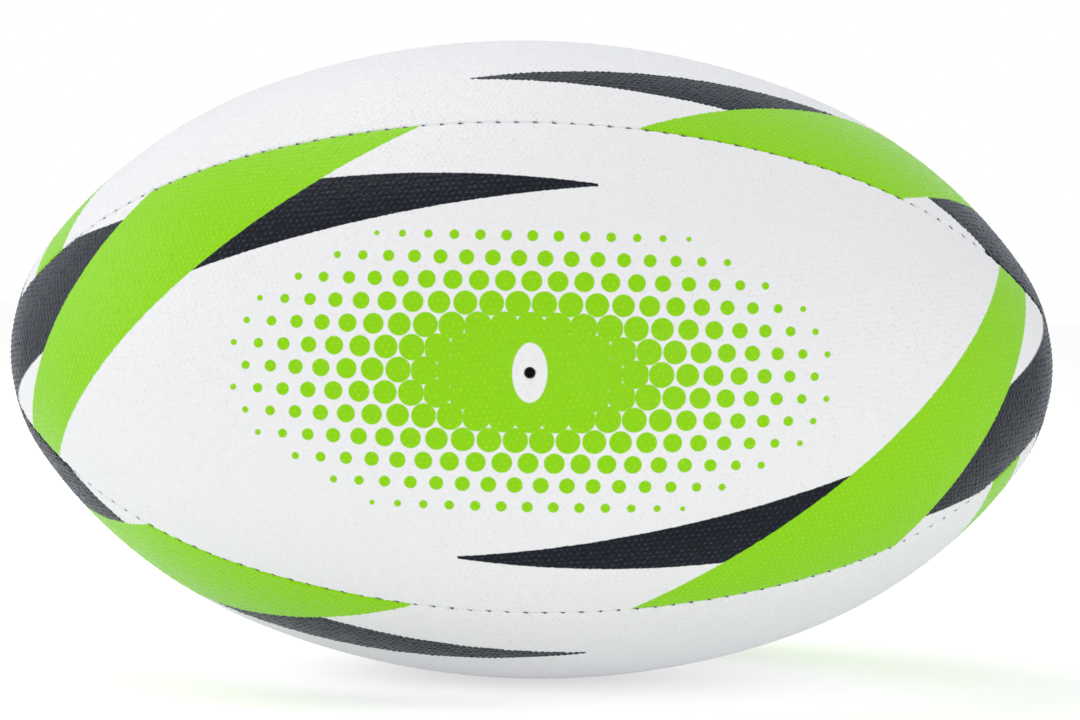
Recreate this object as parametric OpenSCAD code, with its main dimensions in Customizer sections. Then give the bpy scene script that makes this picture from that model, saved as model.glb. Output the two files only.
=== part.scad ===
// Rugby ball, size 5, sewn by hand from four panels. Each panel is a skin of pebbled rubber on
// a backing of laminated cloth. Its edges are folded in, punched and sewn back to back to its
// neighbours' with waxed thread, round a bladder that has a push-in needle valve.
//
// The ball lies along X with its centre at the origin, and the panel with the valve faces -Y.
// The seams lie in the two planes through the long axis at 45 degrees. A panel is turned about
// an axis of its own, a little off the ball's centre line, so that it swells between its seams.

/* [Ball] */
// Length of the ball from tip to tip
ball_l = 300; // [280:1:320]
// Diameter of the ball across the crowns of two opposite panels
ball_d = 184; // [172:1:196]
// Radius of the outline's arc over each tip
tip_arc_r = 46.8; // [42:0.2:52]
// Distance of a panel's own axis from the ball's centre line, which makes the panel swell
panel_axis_offset = 2; // [1:0.5:4]

/* [Panels] */
// Thickness of the rubber skin of a panel
skin_t = 0.8; // [0.6:0.1:1.2]
// Thickness of the laminated cloth under the skin
backing_t = 0.9; // [0.6:0.1:1.2]
// Outer radius of the fold along a panel's edge
fold_r = 1.8; // [1.3:0.1:1.9]
// Depth from the ball's surface to the cut edge of the folded-in flange
flange_depth = 5.2; // [4.4:0.1:8]

/* [Seams] */
// Distance between two stitches
stitch_pitch = 4.7; // [4:0.1:7]
// Depth of the stitches below the ball's surface
stitch_depth = 2.6; // [2.5:0.1:3.2]
// Diameter of the punched stitch holes
stitch_hole_d = 1; // [0.9:0.05:1.2]
// Length of seam at each tip that is closed without stitches
seam_end_gap = 9; // [7:1:16]
// Width of the waxed thread, pressed flat along the flanges
thread_w = 0.7; // [0.5:0.05:0.8]
// Thickness of the waxed thread along the flanges
thread_t = 0.5; // [0.3:0.05:0.7]

/* [Bladder] */
// Thickness of the bladder's wall
bladder_t = 0.7; // [0.5:0.1:1]
// Space between the bladder and the sewn flanges
bladder_flange_gap = 0.3; // [0.2:0.1:0.8]

/* [Valve] */
// Diameter of the hole for the needle through the skin and the backing
needle_hole_d = 2.9; // [2.6:0.1:3.4]
// Diameter of the cloth patch round the hole
patch_d = 34; // [28:1:44]
// Thickness of the cloth patch
patch_t = 0.6; // [0.4:0.1:1]
// Diameter of the valve housing's flange, bonded to the inside of the bladder
housing_flange_d = 24; // [20:1:27]
// Thickness of the valve housing's flange
housing_flange_t = 1.2; // [1:0.1:2]
// Diameter of the valve housing's neck and barrel
housing_d = 14; // [13:0.5:16]
// Length of the valve housing, from the backing to its inner end
housing_l = 15; // [13:0.5:20]
// Diameter of the valve plug's head
plug_head_d = 10.4; // [9.5:0.1:11]
// Thickness of the valve plug's head
plug_head_t = 1.6; // [1.2:0.1:2.2]
// Diameter of the valve plug's stem
plug_stem_d = 7.4; // [6.6:0.1:8.2]
// Height of the bead that holds the plug's stem in the housing
plug_bead_h = 0.6; // [0.4:0.1:0.9]
// Length of the stem that stands out of the housing, under the bead
plug_end_l = 4; // [3:0.5:7]
// Diameter of the needle guide in the plug
guide_d = 2.2; // [1.8:0.1:2.5]
// Length of the needle guide in the plug
guide_l = 8; // [6:0.5:11]

/* [Hidden] */

// Turns about the long axis that bring a part made at the top of the ball to its own side
TOP = 0;
FRONT = 90;
BOTTOM = 180;
BACK = 270;

// Steps of a full turn on each kind of round face
outline_steps = 360;
turn_steps = 144;
fold_steps = 48;
small_steps = 24;

skin_white = [0.93, 0.93, 0.94];
cloth_grey = [0.72, 0.71, 0.66];
thread_grey = [0.22, 0.24, 0.28];
rubber_black = [0.12, 0.12, 0.13];
rubber_tan = [0.62, 0.5, 0.36];

panel_t = skin_t + backing_t;
far = 250;             // reaches past the ball in every direction across it
overrun = 1;           // length by which a cutter passes the face that it starts from
fold_runout = 0.05;    // distance by which the fold's arc crosses the faces that it joins
slit_w = 0.15;         // width of the slit in the end of the valve's plug
seam_band = 20;        // thickness, across the seam, of the sectors that cut its arcs to length

// The outline of a panel above its own axis is a side arc, a shoulder arc and a tip arc on
// each half, each tangent to the next. The joints are set out with a 44-117-125 and a 3-4-5
// triangle: each is the way out from the waist, as [along the ball, out from the axis]. The
// extents of the arcs add up to half the length and the half width, which gives the radii.
side_joint = [0.352, 0.936];
tip_joint = [0.8, 0.6];
half_l = ball_l / 2;
half_w = ball_d / 2 - panel_axis_offset;
length_left = half_l - tip_arc_r * (1 - tip_joint.x);
width_left = half_w - tip_arc_r * tip_joint.y;
joints_between = tip_joint - side_joint;
arcs_det = -side_joint.x * joints_between.y - joints_between.x * (1 - side_joint.y);
side_arc_r = (-length_left * joints_between.y - width_left * joints_between.x) / arcs_det;
shoulder_arc_r = (width_left * side_joint.x - length_left * (1 - side_joint.y)) / arcs_det;

// Arc centres, as [distance along the ball, distance out from the panel's axis]
side_c = [0, half_w - side_arc_r];
shoulder_c = side_c + (side_arc_r - shoulder_arc_r) * side_joint;
tip_c = [half_l - tip_arc_r, 0];

// Where the inset outline passes from one arc to the next, along the ball
function side_end(inset) = (side_arc_r - inset) * side_joint.x;
function shoulder_end(inset) = shoulder_c.x + (shoulder_arc_r - inset) * tip_joint.x;

// A seam is the panel's outline again, moved out in the seam's plane by the part of the
// axis offset that lies in it. The +X half of its arcs, each as [centre, radius, the way to
// its end near the waist, the way to its end near the tip]
seam_rise = panel_axis_offset * cos(45);
function seam_arcs(tip_end) = [
    [tip_c, tip_arc_r, tip_joint, tip_end],
    [shoulder_c, shoulder_arc_r, side_joint, tip_joint],
    [side_c, side_arc_r, [0, 1], side_joint],
];
past_tip = [1, -0.08];   // a way out of the tip arc's centre that passes the centre line

// Angles from the waist to the arcs' joints, at the arcs' centres
side_turn = atan2(side_joint.x, side_joint.y);
tip_turn = atan2(tip_joint.x, tip_joint.y);

// The stitches of half a seam, each as its angle from the waist. The side and shoulder arcs
// take whole numbers of them, so that one falls on each joint and ties the strands there.
function arc_degrees(length, r) = length / (r - stitch_depth) * 180 / PI;
function arc_stitches(turn, r) = round(turn / arc_degrees(stitch_pitch, r));
side_stitches = arc_stitches(side_turn, side_arc_r);
shoulder_stitches = arc_stitches(tip_turn - side_turn, shoulder_arc_r);
tip_step = arc_degrees(stitch_pitch, tip_arc_r);
tip_stitches = floor((90 - tip_turn - arc_degrees(seam_end_gap, tip_arc_r)) / tip_step);
stitch_angles = [
    for (i = [0:side_stitches]) side_turn * i / side_stitches,
    for (i = [1:shoulder_stitches])
        side_turn + (tip_turn - side_turn) * i / shoulder_stitches,
    for (i = [1:tip_stitches]) tip_turn + tip_step * i,
];
last_stitch = len(stitch_angles) - 1;
function way(angle) = [sin(angle), cos(angle)];

// Place of a stitch in the seam's plane, as [along the ball, out]
function stitch_at(angle) =
    angle <= side_turn ? side_c + (side_arc_r - stitch_depth) * way(angle)
    : angle <= tip_turn ? shoulder_c + (shoulder_arc_r - stitch_depth) * way(angle)
    : tip_c + (tip_arc_r - stitch_depth) * way(angle);

thread_pass_d = stitch_hole_d - 0.1;          // two strands of thread, squeezed in one hole
flange_reach = panel_t + thread_t;            // from the seam to the outside of a thread
thread_end = 0.05;                            // the pass shows this far past the strand
bladder_side = flange_reach + bladder_flange_gap;
bladder_depth = flange_depth + bladder_flange_gap;

// Heights of the valve's parts at the crown of its panel
backing_floor = ball_d / 2 - panel_t;
pad_depth = panel_t + patch_t + bladder_t;
pad_d = patch_d + 6;
housing_end = backing_floor - housing_l;
head_gap = 0.2;        // free space round and under the plug's head
head_top = backing_floor - head_gap;
bead_l = 2;

// Flat region between a panel's axis and its outline, with the length of the ball along Y.
// inset sinks the outline under the surface, and rise moves it out from the axis.
module outline(inset, rise)
    translate([rise, 0]) {
        arc_band(side_c, side_arc_r - inset, rise, -side_end(inset), side_end(inset));
        for (end = [0, 1]) mirror([0, end]) {
            arc_band(shoulder_c, shoulder_arc_r - inset, rise,
                side_end(inset), shoulder_end(inset));
            arc_band(tip_c, tip_arc_r - inset, rise, shoulder_end(inset), half_l + overrun);
        }
    }

// The part of a circle above the axis, between two places along the ball
module arc_band(centre, r, rise, from, to)
    intersection() {
        translate([centre.y, centre.x]) circle(r, $fn = outline_steps);
        polygon([[-rise, from], [far, from], [far, to], [-rise, to]]);
    }

// Solid of the outline, turned about a line at the given height over the ball's centre line
module turned(inset, height, rise)
    translate([0, 0, height]) rotate([0, 90, 0])
        rotate_extrude($fn = turn_steps) outline(inset, rise);

// The space inside all of the flanges' cut edges
module inside_flanges(depth) turned(depth, 0, seam_rise);

// Quarter of the space round the centre line, above its two seams and clear of them by side
module quarter(side)
    rotate([90, 0, 90]) linear_extrude(ball_l + 2 * overrun, center = true)
        polygon([[0, side * sqrt(2)], [far, far + side * sqrt(2)],
            [-far, far + side * sqrt(2)]]);

// Places what is drawn in a seam's plane, with X along the ball, Y out and Z away from the
// seam, on the +Y seam of the top panel
module on_seam() rotate([45, 0, 0]) translate([0, seam_rise, 0]) children();

// Sweeps a flat profile, drawn as [out from the arc's centre, away from the seam], along
// the seam as far as tip_end. $arc_r is the radius of the arc that the profile is on.
module along_seam(tip_end)
    for (end = [0, 1]) mirror([end, 0, 0])
        for (arc = seam_arcs(tip_end)) {
            $arc_r = arc[1];
            translate(arc[0]) intersection() {
                rotate_extrude($fn = outline_steps) children();
                linear_extrude(seam_band, center = true)
                    polygon(far * [[0, 0], arc[2], arc[2] + arc[3], arc[3]]);
            }
        }

// Cuts the square corner along a panel's seam down to the round of the fold
module fold_cutter()
    on_seam() along_seam(past_tip) difference() {
        translate([$arc_r - fold_r + fold_runout, -overrun])
            square([fold_r + overrun, fold_r - fold_runout + overrun]);
        translate([$arc_r - fold_r + fold_runout, fold_r - fold_runout])
            circle(fold_r, $fn = fold_steps);
    }

// The whole space of the top panel, sunk by depth under its surface and by side from its
// seams, with a sharp edge along each seam
module panel_space(depth, side)
    intersection() {
        turned(depth, panel_axis_offset, 0);
        quarter(side);
    }

// Punched holes through the flanges of the top panel
module stitch_holes()
    for (end = [0, 1]) mirror([0, end, 0]) on_seam() stitch_pins(stitch_hole_d, overrun,
        panel_t + overrun);

// A pin at each stitch of a seam, from below to above its plane
module stitch_pins(d, below, above)
    for (end = [0, 1]) mirror([end, 0, 0])
        for (i = [end:last_stitch]) {
            place = stitch_at(stitch_angles[i]);
            translate([place.x, place.y, -below])
                cylinder(d = d, h = below + above, $fn = small_steps);
        }

// One layer of the top panel, between two depths: it follows the crown, folds at the seams
// and ends at the flanges' cut edges. The skin's fold is round; the cloth creases inside it.
module panel_layer(outer, inner)
    difference() {
        panel_space(outer, outer);
        if (outer == 0) for (end = [0, 1]) mirror([0, end, 0]) fold_cutter();
        panel_space(inner, inner);
        inside_flanges(flange_depth);
        stitch_holes();
    }

// Hole for the needle, through the crown of the top panel
module needle_hole()
    translate([0, 0, ball_d / 2 - panel_t - overrun])
        cylinder(d = needle_hole_d, h = panel_t + 2 * overrun, $fn = small_steps * 2);

// Disc under the crown of the top panel, between two depths
module crown_disc(d, outer, inner)
    difference() {
        intersection() {
            turned(outer, panel_axis_offset, 0);
            cylinder(d = d, h = far, $fn = small_steps * 4);
        }
        turned(inner, panel_axis_offset, 0);
    }

// Rubber skin of a panel, turned to its side of the ball
module skin(side, has_hole = false)
    color(skin_white) rotate([side, 0, 0]) difference() {
        panel_layer(0, skin_t);
        if (has_hole) needle_hole();
    }

// Laminated cloth of a panel, turned to its side of the ball
module backing(side, has_hole = false)
    color(cloth_grey) rotate([side, 0, 0]) difference() {
        panel_layer(skin_t, panel_t);
        if (has_hole) needle_hole();
    }

// Thread of one seam: a strand along the outside of each flange, and a pass through the
// holes at each stitch. side turns the seam between the front and the top to its place.
module seam_thread(side)
    color(thread_grey) rotate([side, 0, 0]) on_seam() {
        for (face = [0, 1]) mirror([0, 0, face])
            along_seam(way(stitch_angles[last_stitch]))
                translate([$arc_r - stitch_depth - thread_w / 2, panel_t])
                    square([thread_w, thread_t]);
        stitch_pins(thread_pass_d, flange_reach + thread_end, flange_reach + thread_end);
    }

// Space that the bladder fills when its skin lies wall under the panels' cloth: a core inside
// the flanges, turned about the centre line itself so that it closes at each tip, and a lobe
// between the flanges under each panel
module bladder_space(wall) {
    turned(bladder_depth + wall, 0, 0);
    for (side = [TOP, FRONT, BOTTOM, BACK]) rotate([side, 0, 0])
        panel_space(panel_t + wall, bladder_side + wall);
}

// Bladder, blown up against the cloth and round the flanges, with a pad for the valve
module bladder()
    color(rubber_black) difference() {
        union() {
            difference() {
                bladder_space(0);
                bladder_space(bladder_t);
            }
            rotate([FRONT, 0, 0]) crown_disc(pad_d, panel_t, pad_depth);
        }
        rotate([FRONT, 0, 0]) {
            crown_disc(patch_d, panel_t - overrun, panel_t + patch_t);
            translate([0, 0, housing_end])
                cylinder(d = housing_d, h = far, $fn = small_steps * 2);
        }
    }

// Cloth patch, bonded to the backing round the needle hole
module valve_patch()
    color(cloth_grey) rotate([FRONT, 0, 0]) difference() {
        crown_disc(patch_d, panel_t, panel_t + patch_t);
        cylinder(d = housing_d, h = far, $fn = small_steps * 2);
    }

// Valve housing: a neck up to the backing, a flange bonded under the bladder's pad, and a
// barrel that holds the plug
module valve_housing()
    color(rubber_tan) rotate([FRONT, 0, 0]) difference() {
        intersection() {
            turned(panel_t, panel_axis_offset, 0);
            union() {
                translate([0, 0, housing_end])
                    cylinder(d = housing_d, h = far, $fn = small_steps * 2);
                crown_disc(housing_flange_d, pad_depth, pad_depth + housing_flange_t);
            }
        }
        translate([0, 0, housing_end - overrun])
            cylinder(d = plug_stem_d, h = far, $fn = small_steps * 2);
        translate([0, 0, head_top - plug_head_t - head_gap])
            cylinder(d = plug_head_d + 2 * head_gap, h = far, $fn = small_steps * 2);
    }

// Valve plug: a flat head, a stem in the housing's barrel, a bead under it and an end that
// the air presses shut. The needle goes down the guide and through the slit below it.
module valve_plug()
    color(rubber_black) rotate([FRONT, 0, 0]) difference() {
        union() {
            translate([0, 0, head_top - plug_head_t])
                cylinder(d = plug_head_d, h = plug_head_t, $fn = small_steps * 2);
            translate([0, 0, housing_end - bead_l - plug_end_l])
                cylinder(d = plug_stem_d, h = housing_l + bead_l + plug_end_l - head_gap,
                    $fn = small_steps * 2);
            translate([0, 0, housing_end - bead_l])
                cylinder(d1 = plug_stem_d, d2 = plug_stem_d + 2 * plug_bead_h, h = bead_l,
                    $fn = small_steps * 2);
        }
        translate([0, 0, head_top - guide_l])
            cylinder(d = guide_d, h = far, $fn = small_steps * 2);
        translate([0, 0, housing_end - bead_l - plug_end_l])
            cube([guide_d, slit_w, 2 * (head_top - guide_l - housing_end + bead_l + plug_end_l)],
                center = true);
    }

skin(FRONT, has_hole = true);  // front_panel_skin
skin(TOP);  // top_panel_skin
skin(BACK);  // back_panel_skin
skin(BOTTOM);  // bottom_panel_skin
backing(FRONT, has_hole = true);  // front_panel_backing
backing(TOP);  // top_panel_backing
backing(BACK);  // back_panel_backing
backing(BOTTOM);  // bottom_panel_backing
seam_thread(FRONT);  // front_top_seam_thread
seam_thread(TOP);  // back_top_seam_thread
seam_thread(BACK);  // back_bottom_seam_thread
seam_thread(BOTTOM);  // front_bottom_seam_thread
bladder();
valve_patch();
valve_housing();
valve_plug();
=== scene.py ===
import math

import bpy
import numpy as np
from mathutils import Matrix, Vector


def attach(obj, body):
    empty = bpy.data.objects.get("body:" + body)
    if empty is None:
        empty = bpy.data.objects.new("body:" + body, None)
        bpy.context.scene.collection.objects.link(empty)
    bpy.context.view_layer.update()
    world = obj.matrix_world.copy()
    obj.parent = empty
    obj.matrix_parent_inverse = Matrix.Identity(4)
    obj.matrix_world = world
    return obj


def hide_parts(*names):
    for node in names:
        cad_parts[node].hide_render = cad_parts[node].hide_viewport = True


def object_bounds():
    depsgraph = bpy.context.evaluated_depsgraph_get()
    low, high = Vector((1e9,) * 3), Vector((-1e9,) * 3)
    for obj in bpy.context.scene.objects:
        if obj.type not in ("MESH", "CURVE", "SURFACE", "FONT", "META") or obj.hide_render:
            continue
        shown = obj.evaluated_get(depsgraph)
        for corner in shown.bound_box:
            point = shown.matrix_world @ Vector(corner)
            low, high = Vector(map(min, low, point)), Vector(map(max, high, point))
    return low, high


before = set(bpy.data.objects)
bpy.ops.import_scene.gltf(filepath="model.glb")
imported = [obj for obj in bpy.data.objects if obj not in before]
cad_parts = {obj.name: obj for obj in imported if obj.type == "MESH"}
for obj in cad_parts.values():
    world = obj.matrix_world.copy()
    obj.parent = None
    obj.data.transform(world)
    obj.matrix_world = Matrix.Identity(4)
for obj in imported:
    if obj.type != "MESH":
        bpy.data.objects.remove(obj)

cad_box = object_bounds()
low, high = (np.array(corner) for corner in cad_box)

# Camera and studio: a plain pale floor under the ball in a pale room, with a soft lamp above,
# one at each side and a low wide one in front. The camera stands a little over the ball's
# middle, looks down by two degrees and is rolled by one.
CAMERA_PLACE = (0.00288, -0.63968, 0.02311)
CAMERA_TURN = (87.923, -1.186, 0.086)
CAMERA_LENS = 73.3
SENSOR_WIDTH = 36.0
CLIP_START = 0.01
FLOOR_SIZE = 14.0
FLOOR_GAP = 0.0001
FLOOR_GREY = (0.92, 0.92, 0.92, 1)
WHITE = (1, 1, 1, 1)
ROOM_LIGHT = 0.62
FLOOR_GLOW = 0.4
FLOOR_BOUNCE = 0.16

bpy.ops.object.select_all(action="DESELECT")
bpy.ops.object.camera_add(
    location=CAMERA_PLACE, rotation=[math.radians(turn) for turn in CAMERA_TURN]
)
camera = bpy.context.object
camera.data.lens = CAMERA_LENS
camera.data.sensor_width = SENSOR_WIDTH
camera.data.clip_start = CLIP_START
bpy.context.scene.camera = camera
bpy.context.scene.view_settings.view_transform = "Standard"


def add_node(tree, kind, **settings):
    """A new node of a tree, with its settings."""
    node = tree.nodes.new(kind)
    for name, value in settings.items():
        setattr(node, name, value)
    return node


def feed(tree, node, values):
    """Links sockets to a node's inputs, or sets plain values on them."""
    for place, value in values.items():
        if isinstance(value, bpy.types.NodeSocket):
            tree.links.new(value, node.inputs[place])
        elif value is not None:
            node.inputs[place].default_value = value


def calc(tree, operation, *values, clamp=False):
    """The result of a Math node on sockets or plain values."""
    node = add_node(tree, "ShaderNodeMath", operation=operation, use_clamp=clamp)
    feed(tree, node, dict(enumerate(values)))
    return node.outputs[0]


def new_material(name):
    """An empty node material with a Principled shader, as (tree, shader, material)."""
    material = bpy.data.materials.new(name)
    material.use_nodes = True
    tree = material.node_tree
    tree.nodes.clear()
    shader = add_node(tree, "ShaderNodeBsdfPrincipled")
    output = add_node(tree, "ShaderNodeOutputMaterial")
    tree.links.new(shader.outputs[0], output.inputs["Surface"])
    return tree, shader, material


def lamp(name, place, size, power):
    """A soft rectangular lamp that looks at the ball's middle."""
    bpy.ops.object.light_add(type="AREA", location=place)
    light = bpy.context.object
    light.name = name
    light.data.shape = "RECTANGLE"
    light.data.size, light.data.size_y = size
    light.data.energy = power
    light.rotation_euler = (-Vector(place)).to_track_quat("-Z", "Y").to_euler()


lamp("top_lamp", (-0.4, 0.1, 1.2), (1.1, 0.6), 5.0)
lamp("left_lamp", (-1.25, -0.05, 0.4), (0.7, 0.7), 3.6)
lamp("right_lamp", (1.5, -0.6, 0.15), (0.8, 0.8), 2.8)
lamp("front_lamp", (0.3, -1.8, 0.1), (1.6, 0.36), 7.0)


def seen_or_lit(tree, seen, lit):
    """One strength for what the camera or a reflection sees, and another for what it lights."""
    rays = add_node(tree, "ShaderNodeLightPath").outputs
    looked = calc(tree, "MAXIMUM", rays["Is Camera Ray"], rays["Is Glossy Ray"])
    looked = calc(tree, "MAXIMUM", looked, rays["Is Transmission Ray"])
    return calc(tree, "MULTIPLY_ADD", looked, seen - lit, lit)


bpy.ops.mesh.primitive_plane_add(size=FLOOR_SIZE, location=(0, 0, low[2] - FLOOR_GAP))
floor = bpy.context.object
floor.name = "studio_floor"
bpy.ops.object.transform_apply()
tree, shader, floor_paint = new_material("floor_paint")
shader.inputs["Base Color"].default_value = FLOOR_GREY
shader.inputs["Roughness"].default_value = 0.9
shader.inputs["Specular IOR Level"].default_value = 0.0
shader.inputs["Emission Color"].default_value = WHITE
tree.links.new(
    seen_or_lit(tree, FLOOR_GLOW, FLOOR_BOUNCE), shader.inputs["Emission Strength"]
)
floor.data.materials.append(floor_paint)

room = bpy.data.worlds.new("pale_room")
bpy.context.scene.world = room
room.use_nodes = True
tree = room.node_tree
tree.nodes.clear()
backdrop = add_node(tree, "ShaderNodeBackground")
output = add_node(tree, "ShaderNodeOutputWorld")
tree.links.new(backdrop.outputs[0], output.inputs["Surface"])
backdrop.inputs["Color"].default_value = WHITE
tree.links.new(seen_or_lit(tree, 1.0, ROOM_LIGHT), backdrop.inputs["Strength"])

# Panel skins: four sheets of pebbled rubber on cloth, cut to a pointed oval, their edges
# folded in and sewn back to back. The pebbles are moulded in a close three-way pattern, the
# bands are printed over them, and the front sheet is punched for the needle.
PEBBLE_PITCH = 0.00175
PEBBLE_HEIGHT = 0.00026
PEBBLE_ROW_TURN = math.radians(5)
PEBBLE_SEED = 7
CROWN_SHIFT = 0.00024
FLOOR_SHIFT = 0.0001
CROWN_DROP = 0.00011
SKIN_T = 0.0008
FOLD_R = 0.0007
FLANGE_DEPTH = 0.0052
SEAM_GAP = 0.00003
FOLD_ROWS = (0.00004, 0.00014, 0.0003, 0.0005, 0.0007, 0.0011)
INNER_SPACING = 0.006
INNER_INSET = 1.5 * SKIN_T
NEEDLE_HOLE_D = 0.0029

# The panel's outline over its own axis: a side, a shoulder and a tip arc on each half
AXIS_OFFSET = 0.002
TIP_ARC_R = 0.0468
SIDE_JOINT = np.array([0.352, 0.936])
TIP_JOINT = np.array([0.8, 0.6])
half_l = float(high[0])
half_w = float(high[2]) - AXIS_OFFSET
reach = np.array([half_l - TIP_ARC_R * (1 - TIP_JOINT[0]), half_w - TIP_ARC_R * TIP_JOINT[1]])
between = TIP_JOINT - SIDE_JOINT
SIDE_ARC_R, SHOULDER_ARC_R = np.linalg.solve(
    [[SIDE_JOINT[0], between[0]], [SIDE_JOINT[1] - 1, between[1]]],
    [reach[0], -reach[1]],
)
side_c = np.array([0, half_w - SIDE_ARC_R])
shoulder_c = side_c + (SIDE_ARC_R - SHOULDER_ARC_R) * SIDE_JOINT
tip_c = np.array([half_l - TIP_ARC_R, 0])
side_turn = math.atan2(SIDE_JOINT[0], SIDE_JOINT[1])
tip_turn = math.atan2(TIP_JOINT[0], TIP_JOINT[1])
LEAST_SQUARE = 1e-12
LEAST_OUT = 0.02
DRAPE_STEPS = 12


def place(angle, centre, radius):
    """Point and outward way of the meridian of an arc, as [along, out], at an angle."""
    out = np.stack([np.sin(angle), np.cos(angle)], -1)
    return centre + radius * out, out


def meridian(run):
    """Points and outward ways of a panel's middle line at runs from the waist."""
    side = np.abs(run)
    shoulder = side - SIDE_ARC_R * side_turn
    tip = shoulder - SHOULDER_ARC_R * (tip_turn - side_turn)
    arcs = [
        place(side / SIDE_ARC_R, side_c, SIDE_ARC_R),
        place(side_turn + shoulder / SHOULDER_ARC_R, shoulder_c, SHOULDER_ARC_R),
        place(tip_turn + tip / TIP_ARC_R, tip_c, TIP_ARC_R),
    ]
    pick = np.where(shoulder < 0, 0, np.where(tip < 0, 1, 2))
    mirror = np.stack([np.where(run < 0, -1.0, 1.0), np.ones_like(run)], -1)
    point, out = (
        np.choose(pick[:, None], [arc[part] for arc in arcs]) * mirror for part in (0, 1)
    )
    return point, out


def outline(x):
    """Square of the panel's radius about its own axis, and half its slope along the ball."""
    along = np.abs(x)
    rise = [
        np.sqrt(np.maximum(r * r - (along - c[0]) ** 2, LEAST_SQUARE))
        for c, r in ((side_c, SIDE_ARC_R), (shoulder_c, SHOULDER_ARC_R))
    ]
    radius = [side_c[1] + rise[0], shoulder_c[1] + rise[1]]
    square = [radius[0] ** 2, radius[1] ** 2, TIP_ARC_R**2 - (along - tip_c[0]) ** 2]
    slope = [
        -radius[0] * along / rise[0],
        -radius[1] * (along - shoulder_c[0]) / rise[1],
        tip_c[0] - along,
    ]
    joint = side_c[0] + SIDE_ARC_R * SIDE_JOINT[0]
    next_joint = shoulder_c[0] + SHOULDER_ARC_R * TIP_JOINT[0]
    pick = np.where(along < joint, 0, np.where(along < next_joint, 1, 2))
    return np.choose(pick, square), np.choose(pick, slope) * np.sign(x)


def outward(point):
    """Way out of the panel at the top of the ball, at points on or near its surface."""
    way = np.stack([-outline(point[:, 0])[1], point[:, 1], point[:, 2] - AXIS_OFFSET], -1)
    return way / np.linalg.norm(way, axis=1)[:, None]


def draped(sheet):
    """Points of a flat sheet, as [along, across], laid on the top panel's surface."""
    middle, out = meridian(sheet[:, 0])
    steep = np.maximum(out[:, 1], LEAST_OUT)
    bend = np.where(out[:, 1] > LEAST_OUT, middle[:, 1] / steep, TIP_ARC_R)
    across = bend * np.sin(sheet[:, 1] / bend)
    drop = bend * (1 - np.cos(sheet[:, 1] / bend))
    for _ in range(DRAPE_STEPS):
        x, up = middle[:, 0] - drop * out[:, 0], middle[:, 1] - drop * out[:, 1]
        square, slope = outline(x)
        miss = up**2 + across**2 - square
        drop -= miss / (2 * (slope * out[:, 0] - up * out[:, 1]))
    x, up = middle[:, 0] - drop * out[:, 0], middle[:, 1] - drop * out[:, 1]
    return np.stack([x, across, up + AXIS_OFFSET], -1)


def height_over(co):
    """Height of points over the top panel's outer surface, which its pebbles' crowns touch."""
    square, slope = outline(co[:, 0])
    up = co[:, 2] - AXIS_OFFSET
    steepness = np.linalg.norm(np.stack([slope, co[:, 1], up], -1), axis=1)
    return (co[:, 1] ** 2 + up**2 - square) / (2 * steepness)


def points_of(piece):
    """A mesh's points, as an array."""
    co = np.empty(3 * len(piece.data.vertices))
    piece.data.vertices.foreach_get("co", co)
    return co.reshape(-1, 3)


def move_points(piece, co):
    piece.data.vertices.foreach_set("co", co.ravel())
    piece.data.update()


def select_points(piece, mask):
    """Selects some of a mesh's points, from object mode."""
    mesh = piece.data
    for part in (mesh.edges, mesh.polygons):
        part.foreach_set("select", np.zeros(len(part), bool))
    mesh.vertices.foreach_set("select", mask)


def selected_points(piece):
    mask = np.empty(len(piece.data.vertices), bool)
    piece.data.vertices.foreach_get("select", mask)
    return mask


SEAM_WAYS = np.array([[0, -1, 1], [0, 1, 1]]) / math.sqrt(2)


def seam_distance(co):
    """Distance of points from the nearer seam plane of the top panel, and that plane's way in."""
    both = co @ SEAM_WAYS.T
    near = np.argmin(both, axis=1)
    return both[np.arange(len(co)), near], SEAM_WAYS[near]


def seam_out(co, way_in):
    """Way out of the ball that lies in the seam plane, at points near it."""
    out = outward(co)
    out -= np.sum(out * way_in, axis=1)[:, None] * way_in
    return out / np.linalg.norm(out, axis=1)[:, None]


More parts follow.
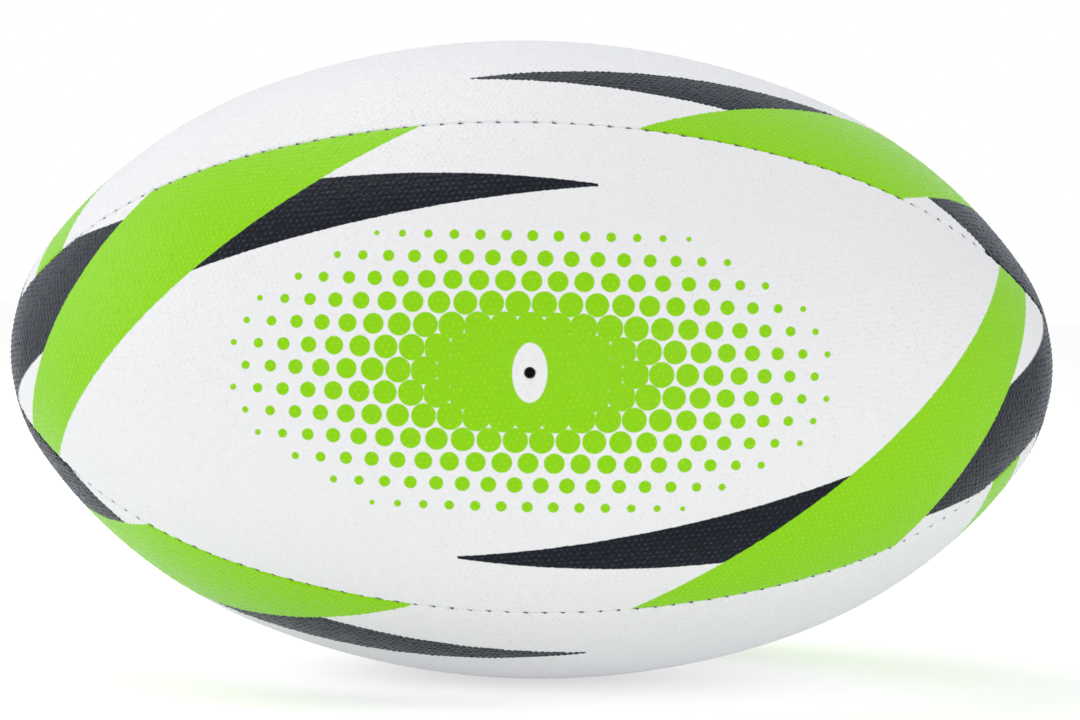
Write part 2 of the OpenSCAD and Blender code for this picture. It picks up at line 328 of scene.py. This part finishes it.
def laid_sheet(name, spacing):
    """A sheet of three-way faces on the top panel's surface, which reaches past its seams.

    Every fourth point or so is a pebble's crown, and the others lie at the pebbles' feet."""
    columns = 2 * math.ceil((meridian_run + SHEET_MARGIN) / spacing)
    rows = 2 * math.ceil(HALF_SHEET / (spacing * math.sqrt(0.75)))
    bpy.ops.object.select_all(action="DESELECT")
    bpy.ops.mesh.primitive_grid_add(x_subdivisions=columns, y_subdivisions=rows, size=2)
    sheet = bpy.context.object
    sheet.name = name
    column, row = np.rint((points_of(sheet)[:, :2] + 1) / 2 * (columns, rows)).astype(int).T
    column, row = column - columns // 2, row - rows // 2
    flat = spacing * np.stack([column + 0.5 * (row % 2), row * math.sqrt(0.75)], -1)
    turn = np.array([
        [math.cos(PEBBLE_ROW_TURN), math.sin(PEBBLE_ROW_TURN)],
        [-math.sin(PEBBLE_ROW_TURN), math.cos(PEBBLE_ROW_TURN)],
    ])
    crown = (row % 2 == 0) & ((column + row // 2) % 2 == 0)
    shuffled = np.random.default_rng(PEBBLE_SEED)
    step = shuffled.uniform(-1, 1, flat.shape) * np.where(crown, CROWN_SHIFT, FLOOR_SHIFT)[:, None]
    low_crown = shuffled.uniform(0, CROWN_DROP, len(flat))
    co = draped(flat @ turn + step)
    outside = seam_distance(co)[0] < -2 * spacing
    co -= outward(co) * np.where(crown, low_crown, PEBBLE_HEIGHT)[:, None]
    move_points(sheet, co)
    select_points(sheet, outside)
    bpy.ops.object.mode_set(mode="EDIT")
    bpy.ops.mesh.select_mode(type="VERT")
    bpy.ops.mesh.delete(type="VERT")
    bpy.ops.mesh.select_all(action="SELECT")
    bpy.ops.mesh.quads_convert_to_tris(quad_method="SHORTEST_DIAGONAL")
    bpy.ops.object.mode_set(mode="OBJECT")
    return sheet


def cut_along_seams(distance, trim):
    """Cuts the active sheet by the planes at a distance inside both seams, or trims it there."""
    bpy.ops.object.mode_set(mode="EDIT")
    for way in SEAM_WAYS:
        bpy.ops.mesh.select_all(action="SELECT")
        bpy.ops.mesh.bisect(
            plane_co=way * distance, plane_no=way, clear_inner=trim, threshold=CUT_SNAP
        )
    bpy.ops.object.mode_set(mode="OBJECT")


meridian_run = (
    SIDE_ARC_R * side_turn
    + SHOULDER_ARC_R * (tip_turn - side_turn)
    + TIP_ARC_R * (math.pi / 2 - tip_turn)
)
SHEET_MARGIN = 0.004
HALF_SHEET = 0.078
CUT_SNAP = 0.00002

# The stitches of half a seam, as angles of its arcs from the waist, and the points that they
# pull in: the side and shoulder arcs take whole numbers of them
STITCH_PITCH = 0.0047
STITCH_DEPTH = 0.0026
SEAM_END_GAP = 0.009
SEAM_RISE = AXIS_OFFSET / math.sqrt(2)
side_stitches = round(side_turn * (SIDE_ARC_R - STITCH_DEPTH) / STITCH_PITCH)
shoulder_stitches = round(
    (tip_turn - side_turn) * (SHOULDER_ARC_R - STITCH_DEPTH) / STITCH_PITCH
)
tip_step = STITCH_PITCH / (TIP_ARC_R - STITCH_DEPTH)
tip_end = math.pi / 2 - SEAM_END_GAP / (TIP_ARC_R - STITCH_DEPTH)
stitch_arcs = [
    (np.linspace(0, side_turn, side_stitches + 1), side_c, SIDE_ARC_R),
    (np.linspace(side_turn, tip_turn, shoulder_stitches + 1)[1:], shoulder_c, SHOULDER_ARC_R),
    (np.arange(tip_turn + tip_step, tip_end, tip_step), tip_c, TIP_ARC_R),
]


def stitch_places(depth):
    """Places of one seam's stitches in its plane at a depth, and their ways out."""
    half = [place(angle, centre, radius - depth) for angle, centre, radius in stitch_arcs]
    point = np.concatenate([arc[0] for arc in half]) + (0, SEAM_RISE)
    out = np.concatenate([arc[1] for arc in half])
    other = np.array([-1, 1])
    return np.concatenate([point[:0:-1] * other, point]), np.concatenate([out[:0:-1] * other, out])


skin = laid_sheet("top_panel_rubber", PEBBLE_PITCH / 2)
cut_along_seams(0, trim=True)
for distance in FOLD_ROWS:
    cut_along_seams(distance, trim=False)
co = points_of(skin)
pebble = skin.data.attributes.new("pebble", "FLOAT", "POINT")
pebble.data.foreach_set("value", np.clip(1 + height_over(co) / PEBBLE_HEIGHT, 0, 1))

# The edge is folded down, the stitches pull it in, and it opens a little round each of them
FOLD_PULL = 0.00022
FOLD_OPEN = 0.00018
PULL_REACH = 0.0009
STITCH_SEED = 3
TENSION = (0.45, 1.25)
side_distance, way_in = seam_distance(co)
edge_out = seam_out(co, way_in)
fold = np.clip(FOLD_R - side_distance, 0, FOLD_R)
sunk = FOLD_R - np.sqrt(FOLD_R**2 - fold**2)
stitched = stitch_places(0)[0]
tension = np.random.default_rng(STITCH_SEED).uniform(*TENSION, len(stitched))
near = np.flatnonzero(side_distance < 2 * PULL_REACH)
in_plane = np.stack([co[near, 0], (co[near, 2] + np.abs(co[near, 1])) / math.sqrt(2)], -1)
gaps = np.linalg.norm(in_plane[:, None] - stitched[None], axis=2)
gap = gaps.min(axis=1)
pull = np.zeros(len(co))
pull[near] = np.exp(-(gap**2 + side_distance[near] ** 2) / PULL_REACH**2)
pull[near] *= tension[gaps.argmin(axis=1)]
co -= edge_out * (sunk + FOLD_PULL * pull)[:, None]
co += way_in * (FOLD_OPEN * pull * (side_distance < FOLD_R))[:, None]
for way in SEAM_WAYS:
    co += way * np.maximum(SEAM_GAP - co @ way, 0)[:, None]
move_points(skin, co)


def open_edge(piece, among=None):
    """Selects a piece's open edges, or those that join some of its points, in edit mode."""
    bpy.ops.object.mode_set(mode="EDIT")
    bpy.ops.mesh.select_mode(type="EDGE")
    bpy.ops.mesh.select_all(action="DESELECT")
    bpy.ops.mesh.select_non_manifold(
        extend=False, use_wire=False, use_multi_face=False, use_non_contiguous=False,
        use_verts=False,
    )
    if among is None:
        return
    bpy.ops.object.mode_set(mode="OBJECT")
    edges = piece.data.edges
    ends = np.empty(2 * len(edges), int)
    edges.foreach_get("vertices", ends)
    ends = ends.reshape(-1, 2)
    kept = np.empty(len(edges), bool)
    edges.foreach_get("select", kept)
    kept &= among[ends].all(axis=1)
    joined = np.zeros(len(piece.data.vertices), bool)
    joined[ends[kept]] = True
    piece.data.vertices.foreach_set("select", joined)
    edges.foreach_set("select", kept)
    bpy.ops.object.mode_set(mode="EDIT")


def grow_edge(piece, shift, among=None, cuts=0):
    """Extrudes an open edge of a piece, and moves the new edge as shift says."""
    open_edge(piece, among)
    if cuts:
        bpy.ops.mesh.subdivide(number_cuts=cuts)
    bpy.ops.mesh.extrude_edges_move()
    bpy.ops.object.mode_set(mode="OBJECT")
    edge = np.flatnonzero(selected_points(piece))
    co = points_of(piece)
    co[edge] = shift(co[edge])
    move_points(piece, co)


def flange_down(co):
    """The skin's outer face goes down beside the seam from its fold."""
    way_in = seam_distance(co)[1]
    return co - seam_out(co, way_in) * (FLANGE_DEPTH - FOLD_R)


def flange_across(co):
    """The flange's end is as wide as the skin is thick, and stays on its own side."""
    distance, way_in = seam_distance(co)
    moved = co + way_in * (SKIN_T - distance)[:, None]
    side = -np.sign(way_in[:, 1])
    moved[:, 1] = side * np.maximum(side * moved[:, 1], 0)
    return moved


def flange_up(co):
    """The flange's inner face comes back up to under the skin."""
    way_in = seam_distance(co)[1]
    return co + seam_out(co, way_in) * (FLANGE_DEPTH - SKIN_T)


for shift in (flange_down, flange_across, flange_up):
    grow_edge(skin, shift)

# The sheet's inner face, under the pebbles, closes the skin
inner = laid_sheet("skin_inner_face", INNER_SPACING)
cut_along_seams(INNER_INSET, trim=True)
co = points_of(inner)
move_points(inner, co - outward(co) * (SKIN_T + height_over(co))[:, None])
bpy.ops.object.select_all(action="DESELECT")
inner.select_set(True)
skin.select_set(True)
bpy.context.view_layer.objects.active = skin
bpy.ops.object.join()


def close_and_smooth(piece):
    """Bridges a piece's two open edges, turns its faces outwards and shades it smooth."""
    open_edge(piece)
    bpy.ops.mesh.bridge_edge_loops(type="SINGLE")
    bpy.ops.mesh.select_all(action="SELECT")
    bpy.ops.mesh.normals_make_consistent(inside=False)
    bpy.ops.object.mode_set(mode="OBJECT")
    bpy.ops.object.shade_smooth()


close_and_smooth(skin)

# Each side's turn about the long axis, which takes the top panel to its own place
SIDES = {"top": 0, "front": 90, "bottom": 180, "back": 270}


def turned_copy(piece, name, turn):
    """A copy of a piece with its own mesh, turned about the ball's long axis."""
    other = piece.copy()
    other.data = piece.data.copy()
    other.name = other.data.name = name
    bpy.context.collection.objects.link(other)
    other.data.transform(Matrix.Rotation(math.radians(turn), 4, "X"))
    return other


# The needle's hole goes through the middle of the front skin, with a lip that is pressed in
HOLE_CLEARED = 0.00185
LIP = ((0.00165, 0.00022), (NEEDLE_HOLE_D / 2, 0.00045), (NEEDLE_HOLE_D / 2, SKIN_T))
LIP_CUTS = (2, 0, 0)
UPPER_SHARE = 1 / 1.5
punched = turned_copy(skin, "punched_skin", 0)
bpy.ops.object.select_all(action="DESELECT")
punched.select_set(True)
bpy.context.view_layer.objects.active = punched
from_hole = np.linalg.norm(points_of(punched)[:, :2], axis=1)
select_points(punched, from_hole < HOLE_CLEARED)
bpy.ops.object.mode_set(mode="EDIT")
bpy.ops.mesh.select_mode(type="VERT")
bpy.ops.mesh.delete(type="VERT")
bpy.ops.object.mode_set(mode="OBJECT")


def lip_ring(radius, depth):
    """A move of points onto a ring round the hole, at a depth under the skin's surface."""

    def onto_ring(co):
        flat = co[:, :2] * radius / np.linalg.norm(co[:, :2], axis=1)[:, None]
        up = np.sqrt(outline(flat[:, 0])[0] - flat[:, 1] ** 2) + AXIS_OFFSET - depth
        return np.column_stack([flat, up])

    return onto_ring


for cuts, ring in zip(LIP_CUTS, LIP):
    upper = height_over(points_of(punched)) > -UPPER_SHARE * SKIN_T
    grow_edge(punched, lip_ring(*ring), upper, cuts)
close_and_smooth(punched)

skins = {
    side: turned_copy(punched if side == "front" else skin, f"{side}_panel_rubber", turn)
    for side, turn in SIDES.items()
}
for piece in (skin, punched):
    bpy.data.objects.remove(piece)


def new_group(name, inputs, outputs):
    """An empty node group, as (group, input node, output node), with typed sockets."""
    group = bpy.data.node_groups.new(name, "ShaderNodeTree")
    for label, kind in inputs.items():
        group.interface.new_socket(label, in_out="INPUT", socket_type="NodeSocket" + kind)
    for label, kind in outputs.items():
        group.interface.new_socket(label, in_out="OUTPUT", socket_type="NodeSocket" + kind)
    return group, add_node(group, "NodeGroupInput"), add_node(group, "NodeGroupOutput")


def vector_calc(tree, operation, *values, output=0):
    node = add_node(tree, "ShaderNodeVectorMath", operation=operation)
    feed(tree, node, dict(enumerate(values)))
    return node.outputs[output]


def measured_in(tree, vector, centre, radii, turn):
    """A point on the panel, measured in radii of an ellipse from its centre."""
    node = add_node(tree, "ShaderNodeMapping", vector_type="TEXTURE")
    feed(tree, node, {
        "Vector": vector,
        "Location": (*centre, 0),
        "Rotation": (0, 0, math.radians(turn)),
        "Scale": (*radii, 1),
    })
    return node.outputs[0]


def length_of(tree, vector):
    return vector_calc(tree, "LENGTH", vector, output="Value")


def within(tree, measured, radius):
    """1 inside an ellipse that the point is measured in, fading over the print's soft edge."""
    short = calc(tree, "SUBTRACT", 1.0, length_of(tree, measured))
    return calc(tree, "MULTIPLY_ADD", short, radius / PRINT_EDGE, 0.5, clamp=True)


# The printed bands sweep the same way on every panel: a lime one over a navy one at each
# end, the second a half turn of the first. All sizes are on the panel, from its middle.
PRINT_EDGE = 0.00022
LIME_SHIFT = (-0.0011, 0.0)
LIME_OUTER = ((-0.0318, -0.005), (0.1173, 0.0836), 34)
LIME_INNER = ((-0.014, 0.007), (0.1344, 0.0561), 30)
NAVY_SHIFT = (-0.0007, -0.0004)
NAVY_OUTER = ((-0.0197, -0.2667), (0.3173, 0.3173), 0)
NAVY_INNER = ((-0.0312, 0.0086), (0.1163, 0.0311), 13)
NAVY_TIP = 0.0559
HALVES_WAY = (-0.5, 0.866, 0)
RAGGED_SCALE = 900.0
RAGGED_EDGE = (0.0004, 0.0004, 0)

bands, start, end = new_group(
    "printed_bands", {"Place": "Vector"}, {"Lime": "Float", "Navy": "Float"}
)
ragged = add_node(bands, "ShaderNodeTexNoise")
feed(bands, ragged, {"Vector": start.outputs["Place"], "Scale": RAGGED_SCALE, "Detail": 1.0})
ragged = vector_calc(bands, "SUBTRACT", ragged.outputs["Color"], (0.5, 0.5, 0.5))
ragged = vector_calc(bands, "MULTIPLY_ADD", ragged, RAGGED_EDGE, start.outputs["Place"])
flat = vector_calc(bands, "MULTIPLY", ragged, (1, 1, 0))


def one_half(shift):
    """The panel's point, or the one opposite, so that both halves carry the same band."""
    moved = vector_calc(bands, "SUBTRACT", flat, (*shift, 0))
    side = vector_calc(bands, "DOT_PRODUCT", moved, HALVES_WAY, output="Value")
    return vector_calc(bands, "SCALE", moved, None, None, calc(bands, "SIGN", side))


def band(shift, outer, inner):
    """What lies inside the outer ellipse and outside the upper half of the inner one."""
    moved = one_half(shift)
    outer_edge = within(bands, measured_in(bands, moved, *outer), min(outer[1]))
    measured = measured_in(bands, moved, *inner)
    hollow = within(bands, measured, min(inner[1]))
    parts = add_node(bands, "ShaderNodeSeparateXYZ")
    feed(bands, parts, {0: measured})
    upper = calc(bands, "GREATER_THAN", parts.outputs["Y"], 0.0)
    mask = calc(bands, "SUBTRACT", outer_edge, hollow, clamp=True)
    return calc(bands, "MULTIPLY", mask, upper), parts.outputs["X"]


lime = band(LIME_SHIFT, LIME_OUTER, LIME_INNER)[0]
navy, along_navy = band(NAVY_SHIFT, NAVY_OUTER, NAVY_INNER)
before_tip = calc(bands, "LESS_THAN", along_navy, NAVY_TIP / NAVY_INNER[1][0])
feed(bands, end, {"Lime": lime, "Navy": calc(bands, "MULTIPLY", navy, before_tip)})

# The middle of the front and back panels carries an oval of lime dots that shrink outwards
# from a solid centre, with a bare white oval round the needle hole
DOT_PITCH = 0.0066
DOT_CELL = (DOT_PITCH, DOT_PITCH * math.sqrt(3))
OVAL_RADII = (0.079, 0.040)
DOT_R_MIDDLE = 0.0048
DOT_R_RIM = 0.0006
DOT_SHRINK = 0.85
BARE_OVAL = (0.0044, 0.0075)
dots, start, end = new_group("dot_oval", {"Place": "Vector"}, {"Lime": "Float"})
flat = vector_calc(dots, "MULTIPLY", start.outputs["Place"], (1, 1, 0))
half_cell = (0.5 * DOT_CELL[0], 0.5 * DOT_CELL[1], 0)
cell_top = (*half_cell[:2], 1)
cell_foot = tuple(-side for side in cell_top)
nearest = []
for shift in ((0, 0, 0), half_cell):
    moved = vector_calc(dots, "ADD", flat, shift)
    offset = vector_calc(dots, "WRAP", moved, cell_top, cell_foot)
    centre = vector_calc(dots, "SUBTRACT", flat, offset)
    centre = measured_in(dots, centre, (0, 0), OVAL_RADII, 0)
    inward = calc(dots, "SUBTRACT", 1.0, length_of(dots, centre))
    inside = calc(dots, "GREATER_THAN", inward, 0.0)
    shrink = calc(dots, "POWER", calc(dots, "MAXIMUM", inward, 0.0), DOT_SHRINK)
    radius = calc(dots, "MULTIPLY_ADD", shrink, DOT_R_MIDDLE - DOT_R_RIM, DOT_R_RIM)
    short = calc(dots, "SUBTRACT", radius, length_of(dots, offset))
    dot = calc(dots, "MULTIPLY_ADD", short, 1 / PRINT_EDGE, 0.5, clamp=True)
    nearest.append(calc(dots, "MULTIPLY", dot, inside))
dot = calc(dots, "MAXIMUM", *nearest)
bare = within(dots, measured_in(dots, flat, (0, 0), BARE_OVAL, 0), min(BARE_OVAL))
feed(dots, end, {"Lime": calc(dots, "SUBTRACT", dot, bare, clamp=True)})


def use_group(tree, group, **values):
    """The outputs of a node group that is placed in a tree with these inputs."""
    node = add_node(tree, "ShaderNodeGroup", node_tree=group)
    feed(tree, node, values)
    return node.outputs


def mix_colour(tree, factor, first, second):
    node = add_node(tree, "ShaderNodeMix", data_type="RGBA")
    feed(tree, node, {0: factor, 6: first, 7: second})
    return node.outputs[2]


def object_place(tree, turn):
    """Object coordinates, turned about the long axis to those of the top panel."""
    place_node = add_node(tree, "ShaderNodeTexCoord")
    mapping = add_node(tree, "ShaderNodeMapping")
    feed(tree, mapping, {
        "Vector": place_node.outputs["Object"], "Rotation": (math.radians(-turn), 0, 0)
    })
    return mapping.outputs[0]


# The crown colours are lighter than the ground. This is partly wear of the print on the pebbles'
# tops and partly a painted highlight that stands in for the glints and sheen on the crowns.
RUBBER_WHITE = (0.80, 0.80, 0.815, 1)
WORN_LIT_CROWN_WHITE = (0.82, 0.82, 0.835, 1)
LIME = (0.25, 0.62, 0.001, 1)
WORN_LIT_CROWN_LIME = (0.33, 0.72, 0.005, 1)
NAVY = (0.0008, 0.002, 0.006, 1)
WORN_LIT_CROWN_NAVY = (0.014, 0.026, 0.056, 1)
CROWN_FROM = {"From Min": 0.15, "From Max": 0.9}
PEBBLE_RELIEF = 0.00015
GRAIN_PITCH = 0.0012
GRAIN_RELIEF = 0.00012
WEAR_AND_GLINT_PITCH = 0.0022
WEAR_AND_GLINT_GAIN = 2.6
WEAR_AND_GLINT_BASE = -0.5


def skin_material(side, turn, has_dots):
    """A side's rubber, with the prints, its pebbles' crowns painted lighter, partly as wear and
    partly as a painted highlight, and a fine grain.
    """
    tree, shader, material = new_material(f"{side}_pebbled_rubber")
    spot = object_place(tree, turn)
    printed = use_group(tree, bands, Place=spot)
    lime = printed["Lime"]
    if has_dots:
        lime = calc(tree, "MAXIMUM", lime, use_group(tree, dots, Place=spot)["Lime"])
    pebble = add_node(tree, "ShaderNodeAttribute", attribute_name="pebble")
    crown = add_node(tree, "ShaderNodeMapRange", interpolation_type="SMOOTHSTEP")
    feed(tree, crown, {"Value": pebble.outputs["Fac"], **CROWN_FROM})
    crown = crown.outputs[0]
    grain = add_node(tree, "ShaderNodeTexVoronoi")
    feed(tree, grain, {"Vector": spot, "Scale": 1.0 / GRAIN_PITCH})
    patch = add_node(tree, "ShaderNodeTexNoise")
    feed(tree, patch, {"Vector": spot, "Scale": 1.0 / WEAR_AND_GLINT_PITCH, "Detail": 1.0})
    # A noise patch picks out the crowns that are painted lighter, as wear and as painted
    # highlight.
    worn_and_lit_crowns = calc(tree, "MULTIPLY_ADD", patch.outputs["Fac"], WEAR_AND_GLINT_GAIN, WEAR_AND_GLINT_BASE, clamp=True)
    worn_and_lit_crowns = calc(tree, "MULTIPLY", worn_and_lit_crowns, crown)
    colour = mix_colour(tree, crown, RUBBER_WHITE, WORN_LIT_CROWN_WHITE)
    navy_colour = mix_colour(tree, worn_and_lit_crowns, NAVY, WORN_LIT_CROWN_NAVY)
    colour = mix_colour(tree, printed["Navy"], colour, navy_colour)
    lime_colour = mix_colour(tree, worn_and_lit_crowns, LIME, WORN_LIT_CROWN_LIME)
    colour = mix_colour(tree, lime, colour, lime_colour)
    relief = add_node(tree, "ShaderNodeBump")
    feed(tree, relief, {"Strength": 1.0, "Distance": PEBBLE_RELIEF, "Height": crown})
    bump = add_node(tree, "ShaderNodeBump", invert=True)
    feed(tree, bump, {
        "Strength": 1.0, "Distance": GRAIN_RELIEF, "Height": grain.outputs["Distance"],
        "Normal": relief.outputs[0],
    })
    feed(tree, shader, {
        "Base Color": colour, "Roughness": 0.38, "Specular IOR Level": 0.13,
        "Sheen Weight": 0.26, "Sheen Roughness": 0.4, "Sheen Tint": (0.75, 0.88, 1.0, 1),
        "Normal": bump.outputs[0],
    })
    return material


for side, turn in SIDES.items():
    piece = skins[side]
    piece.name = f"{side}_panel_rubber"
    piece.data.materials.clear()
    piece.data.materials.append(skin_material(side, turn, side in ("front", "back")))
    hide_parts(f"{side}_panel_skin")
    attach(piece, "root")

# Stitches: waxed thread passes from panel to panel under the fold, and shows as a short dark
# dash across the seam at each stitch, where it pulls the two edges together.
THREAD_D = 0.0006
THREAD_SHOWN = 0.0012
STITCH_SHOWN_DEPTH = 0.0007
STITCH_SLANT = math.radians(60)
THREAD_SIDES = 10
THREAD_ROUND = 0.00017
THREAD_GREY = (0.15, 0.15, 0.157, 1)
THREAD_DARK = (0.05, 0.05, 0.053, 1)
FIBRE_PITCH = 0.0003
FIBRE_RELIEF = 0.0001

bpy.ops.object.select_all(action="DESELECT")
bpy.ops.mesh.primitive_cylinder_add(
    vertices=THREAD_SIDES, radius=THREAD_D / 2, depth=THREAD_SHOWN
)
dash = bpy.context.object
bpy.ops.object.mode_set(mode="EDIT")
bpy.ops.mesh.select_all(action="SELECT")
bpy.ops.mesh.bevel(offset=THREAD_ROUND, segments=2, affect="EDGES", clamp_overlap=True)
bpy.ops.object.mode_set(mode="OBJECT")
tree, shader, thread_paint = new_material("waxed_thread")
fibres = add_node(tree, "ShaderNodeTexNoise")
feed(tree, fibres, {"Vector": object_place(tree, 0), "Scale": 1.0 / FIBRE_PITCH, "Detail": 3.0})
bump = add_node(tree, "ShaderNodeBump")
feed(tree, bump, {"Strength": 0.5, "Distance": FIBRE_RELIEF, "Height": fibres.outputs["Fac"]})
feed(tree, shader, {
    "Base Color": mix_colour(tree, fibres.outputs["Fac"], THREAD_DARK, THREAD_GREY),
    "Roughness": 0.55, "Normal": bump.outputs[0],
})
points, ways = stitch_places(STITCH_SHOWN_DEPTH)
across = Vector(SEAM_WAYS[0])
dashes = []
for point, way in zip(points, ways):
    stitch = dash.copy()
    stitch.data = dash.data.copy()
    bpy.context.collection.objects.link(stitch)
    out = Vector((way[0], way[1] / math.sqrt(2), way[1] / math.sqrt(2)))
    frame_turn = Matrix((out.cross(across), out, across)).transposed().to_4x4()
    frame_turn @= Matrix.Rotation(STITCH_SLANT, 4, "Y")
    centre = Vector((point[0], point[1] / math.sqrt(2), point[1] / math.sqrt(2)))
    stitch.data.transform(Matrix.Translation(centre) @ frame_turn)
    dashes.append(stitch)
bpy.data.objects.remove(dash)
bpy.ops.object.select_all(action="DESELECT")
for stitch in dashes:
    stitch.select_set(True)
bpy.context.view_layer.objects.active = dashes[0]
bpy.ops.object.join()
stitches = bpy.context.object
stitches.data.materials.append(thread_paint)
bpy.ops.object.shade_smooth()
SEAMS = {"back_top": 0, "front_top": 90, "front_bottom": 180, "back_bottom": 270}
for seam, turn in SEAMS.items():
    piece = turned_copy(stitches, f"{seam}_stitches", turn)
    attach(piece, "root")
bpy.data.objects.remove(stitches)


# Seam threads: one waxed polyester cord to a seam, which runs beside it under the folds and
# crosses from panel to panel at every stitch.
def dress(names, material):
    """Gives CAD nodes a material."""
    for name in names:
        for slot in bpy.data.objects[name].material_slots:
            slot.material = material


dress([f"{seam}_seam_thread" for seam in SEAMS], thread_paint)

# Panel backings: layers of cotton and polyester cloth, glued to the back of the rubber and
# to each other, and the round patch of the same cloth that holds the valve.
WEAVE_PITCH = 0.0009
CLOTH = (0.52, 0.50, 0.43, 1)
CLOTH_PAINTED_SHADE = (0.36, 0.34, 0.28, 1)
WEAVE_RELIEF = 0.0002
weave, start, end = new_group(
    "plain_weave", {"Place": "Vector", "Pitch": "Float"}, {"Thread": "Float"}
)
parts = add_node(weave, "ShaderNodeSeparateXYZ")
feed(weave, parts, {0: start.outputs["Place"]})
angle = calc(weave, "ARCTAN2", parts.outputs["Y"], parts.outputs["Z"])
rate = calc(weave, "DIVIDE", math.pi, start.outputs["Pitch"])
warp = calc(weave, "SINE", calc(weave, "MULTIPLY", parts.outputs["X"], rate))
around = calc(weave, "MULTIPLY", calc(weave, "MULTIPLY", angle, half_w), rate)
crossing = calc(weave, "MULTIPLY", warp, calc(weave, "SINE", around))
feed(weave, end, {"Thread": calc(weave, "ABSOLUTE", crossing)})

tree, shader, cloth = new_material("cotton_cloth")
spot = object_place(tree, 0)
thread = use_group(tree, weave, Place=spot, Pitch=WEAVE_PITCH)["Thread"]
bump = add_node(tree, "ShaderNodeBump")
feed(tree, bump, {"Strength": 0.6, "Distance": WEAVE_RELIEF, "Height": thread})
# The weave's low places are painted darker, as a painted shade in its hollows.
feed(tree, shader, {
    "Base Color": mix_colour(tree, thread, CLOTH_PAINTED_SHADE, CLOTH), "Roughness": 0.9,
    "Normal": bump.outputs[0],
})
dress([f"{side}_panel_backing" for side in SIDES] + ["valve_patch"], cloth)

# Bladder and valve: a blown balloon of black butyl rubber, and the moulded housing that is
# bonded into it, closed by a soft plug that the needle is pushed through.
BLOOM_SCALE = 140.0
BLOOM_GAIN = 1.5
BLOOM_RELIEF = 0.0002
for name, colour, rough in (
    ("bladder", (0.014, 0.014, 0.016, 1), 0.42),
    ("valve_housing", (0.30, 0.19, 0.10, 1), 0.5),
    ("valve_plug", (0.008, 0.008, 0.009, 1), 0.6),
):
    tree, shader, rubber = new_material(f"{name}_rubber")
    bloom = add_node(tree, "ShaderNodeTexNoise")
    feed(tree, bloom, {"Vector": object_place(tree, 0), "Scale": BLOOM_SCALE, "Detail": 5.0})
    bump = add_node(tree, "ShaderNodeBump")
    feed(tree, bump, {
        "Strength": 0.3, "Distance": BLOOM_RELIEF, "Height": bloom.outputs["Fac"]
    })
    dusted = tuple(BLOOM_GAIN * part for part in colour[:3]) + (1,)
    feed(tree, shader, {
        "Base Color": mix_colour(tree, bloom.outputs["Fac"], colour, dusted),
        "Roughness": rough, "Normal": bump.outputs[0],
    })
    dress([name], rubber)
